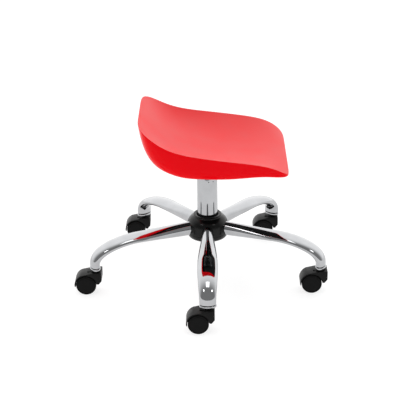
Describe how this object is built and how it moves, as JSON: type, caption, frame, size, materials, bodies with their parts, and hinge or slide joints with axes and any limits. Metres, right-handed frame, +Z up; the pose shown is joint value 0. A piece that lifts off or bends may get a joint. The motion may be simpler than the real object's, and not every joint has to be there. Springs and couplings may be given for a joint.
{
  "type": "rolling stylist stool",
  "caption": "Height-adjustable swivelling stool with a dished red moulded seat on a chromed gas lift and a five-arm chromed base on twin-wheel casters.",
  "frame": {"origin": "on the floor, on the axis of the gas lift", "axes": "+Z up along the gas lift, -Y towards the way the sitter faces, +X across the seat"},
  "size_m": [0.5664, 0.6159, 0.4349],
  "materials": {
    "seat_plastic": "gloss moulded red plastic",
    "chrome": "polished chrome plate on steel",
    "bare_steel": "satin, machined",
    "coated_steel": "satin black powder coat",
    "black_plastic": "satin moulded black plastic",
    "caster_plastic": "satin moulded black plastic",
    "wheel_plastic": "semi-gloss moulded black plastic",
    "bush_plastic": "natural acetal"
  },
  "bodies": {
    "base": {"hub_sleeve": "bare_steel", "hub_cover": "black_plastic", "hub_floor": "black_plastic", "base_arm_1": "chrome", "stem_socket_1": "chrome", "base_arm_2": "chrome", "stem_socket_2": "chrome", "base_arm_3": "chrome", "stem_socket_3": "chrome", "base_arm_4": "chrome", "stem_socket_4": "chrome", "base_arm_5": "chrome", "stem_socket_5": "chrome", "lift_outer_tube": "chrome", "lift_guide_bush": "bush_plastic", "lift_piston_rod": "bare_steel", "lift_thrust_bearing": "bare_steel", "lift_end_clip": "bare_steel"},
    "gas_spring": {"lift_gas_cylinder": "bare_steel"},
    "release_button": {"lift_release_pin": "bare_steel"},
    "seat": {"seat_shell": "seat_plastic", "seat_plate": "coated_steel", "seat_screw_1": "bare_steel", "seat_screw_2": "bare_steel", "seat_screw_3": "bare_steel", "seat_screw_4": "bare_steel", "mechanism_housing": "coated_steel", "lift_socket": "coated_steel", "lever_pivot_pin": "bare_steel"},
    "lever": {"release_lever": "bare_steel", "lever_grip": "black_plastic"},
    "caster_1": {"caster_stem_1": "bare_steel", "caster_hood_1": "caster_plastic", "caster_axle_1": "bare_steel"},
    "wheel_1_left": {"wheel_1_left": "wheel_plastic"},
    "wheel_1_right": {"wheel_1_right": "wheel_plastic"},
    "caster_2": {"caster_stem_2": "bare_steel", "caster_hood_2": "caster_plastic", "caster_axle_2": "bare_steel"},
    "wheel_2_left": {"wheel_2_left": "wheel_plastic"},
    "wheel_2_right": {"wheel_2_right": "wheel_plastic"},
    "caster_3": {"caster_stem_3": "bare_steel", "caster_hood_3": "caster_plastic", "caster_axle_3": "bare_steel"},
    "wheel_3_left": {"wheel_3_left": "wheel_plastic"},
    "wheel_3_right": {"wheel_3_right": "wheel_plastic"},
    "caster_4": {"caster_stem_4": "bare_steel", "caster_hood_4": "caster_plastic", "caster_axle_4": "bare_steel"},
    "wheel_4_left": {"wheel_4_left": "wheel_plastic"},
    "wheel_4_right": {"wheel_4_right": "wheel_plastic"},
    "caster_5": {"caster_stem_5": "bare_steel", "caster_hood_5": "caster_plastic", "caster_axle_5": "bare_steel"},
    "wheel_5_left": {"wheel_5_left": "wheel_plastic"},
    "wheel_5_right": {"wheel_5_right": "wheel_plastic"}
  },
  "joints": [
    {"name": "lift_slide", "type": "slide", "parent": "base", "child": "gas_spring", "axis": [0, 0, 1], "range_m": [0, 0.085]},
    {"name": "seat_swivel", "type": "hinge", "parent": "gas_spring", "child": "seat", "pos_m": [0, 0, 0.3], "axis": [0, 0, 1], "continuous": true},
    {"name": "lever_pivot", "type": "hinge", "parent": "seat", "child": "lever", "pos_m": [0.03, 0, 0.327], "axis": [0, -1, 0], "range_deg": [0, 4.5], "stiffness_Nm_per_rad": 2, "springref_deg": -5.73},
    {"name": "release_press", "type": "slide", "parent": "gas_spring", "child": "release_button", "axis": [0, 0, -1], "range_m": [0, 0.0024]},
    {"name": "caster_swivel_1", "type": "hinge", "parent": "base", "child": "caster_1", "pos_m": [-0.2888, 0, 0.06], "axis": [0, 0, 1], "continuous": true},
    {"name": "wheel_spin_1_left", "type": "hinge", "parent": "caster_1", "child": "wheel_1_left", "pos_m": [-0.2888, 0.022, 0.0245], "axis": [1, 0, 0], "continuous": true},
    {"name": "wheel_spin_1_right", "type": "hinge", "parent": "caster_1", "child": "wheel_1_right", "pos_m": [-0.2888, 0.022, 0.0245], "axis": [1, 0, 0], "continuous": true},
    {"name": "caster_swivel_2", "type": "hinge", "parent": "base", "child": "caster_2", "pos_m": [-0.08924, -0.27466, 0.06], "axis": [0, 0, 1], "continuous": true},
    {"name": "wheel_spin_2_left", "type": "hinge", "parent": "caster_2", "child": "wheel_2_left", "pos_m": [-0.08924, -0.25266, 0.0245], "axis": [1, 0, 0], "continuous": true},
    {"name": "wheel_spin_2_right", "type": "hinge", "parent": "caster_2", "child": "wheel_2_right", "pos_m": [-0.08924, -0.25266, 0.0245], "axis": [1, 0, 0], "continuous": true},
    {"name": "caster_swivel_3", "type": "hinge", "parent": "base", "child": "caster_3", "pos_m": [0.23364, -0.16975, 0.06], "axis": [0, 0, 1], "continuous": true},
    {"name": "wheel_spin_3_left", "type": "hinge", "parent": "caster_3", "child": "wheel_3_left", "pos_m": [0.23364, -0.14775, 0.0245], "axis": [1, 0, 0], "continuous": true},
    {"name": "wheel_spin_3_right", "type": "hinge", "parent": "caster_3", "child": "wheel_3_right", "pos_m": [0.23364, -0.14775, 0.0245], "axis": [1, 0, 0], "continuous": true},
    {"name": "caster_swivel_4", "type": "hinge", "parent": "base", "child": "caster_4", "pos_m": [0.23364, 0.16975, 0.06], "axis": [0, 0, 1], "continuous": true},
    {"name": "wheel_spin_4_left", "type": "hinge", "parent": "caster_4", "child": "wheel_4_left", "pos_m": [0.23364, 0.19175, 0.0245], "axis": [1, 0, 0], "continuous": true},
    {"name": "wheel_spin_4_right", "type": "hinge", "parent": "caster_4", "child": "wheel_4_right", "pos_m": [0.23364, 0.19175, 0.0245], "axis": [1, 0, 0], "continuous": true},
    {"name": "caster_swivel_5", "type": "hinge", "parent": "base", "child": "caster_5", "pos_m": [-0.08924, 0.27466, 0.06], "axis": [0, 0, 1], "continuous": true},
    {"name": "wheel_spin_5_left", "type": "hinge", "parent": "caster_5", "child": "wheel_5_left", "pos_m": [-0.08924, 0.29667, 0.0245], "axis": [1, 0, 0], "continuous": true},
    {"name": "wheel_spin_5_right", "type": "hinge", "parent": "caster_5", "child": "wheel_5_right", "pos_m": [-0.08924, 0.29667, 0.0245], "axis": [1, 0, 0], "continuous": true}
  ],
  "couplings": [
    {"joint": "release_press", "follows": "lever_pivot", "m_per_rad": 0.03}
  ]
}
